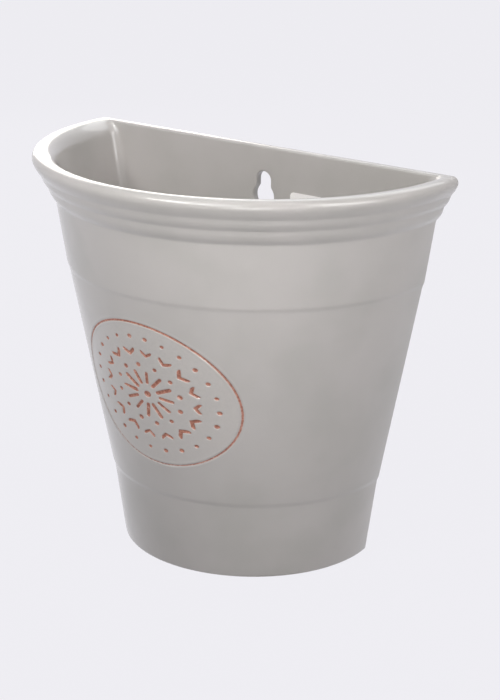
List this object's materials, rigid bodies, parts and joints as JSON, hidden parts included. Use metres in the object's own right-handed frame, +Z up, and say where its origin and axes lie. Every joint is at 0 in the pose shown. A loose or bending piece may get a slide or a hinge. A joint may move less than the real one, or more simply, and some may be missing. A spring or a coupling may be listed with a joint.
{
  "type": "hanging wall vase",
  "caption": "Half-round glazed ceramic wall vase with a flat back, rolled lip, stepped bands and a keyhole for hanging on a screw.",
  "frame": {"origin": "where the hanging screw sits: the middle of the keyhole's rounded top, on the wall plane", "axes": "+X along the wall to the right as seen from the room, +Y into the wall, +Z up"},
  "size_m": [0.2698, 0.1483, 0.247],
  "materials": {
    "glazed_ceramic": "glossy",
    "label_paper": "matte"
  },
  "bodies": {
    "root": {"pot_body": "glazed_ceramic", "label": "label_paper"}
  },
  "joints": []
}
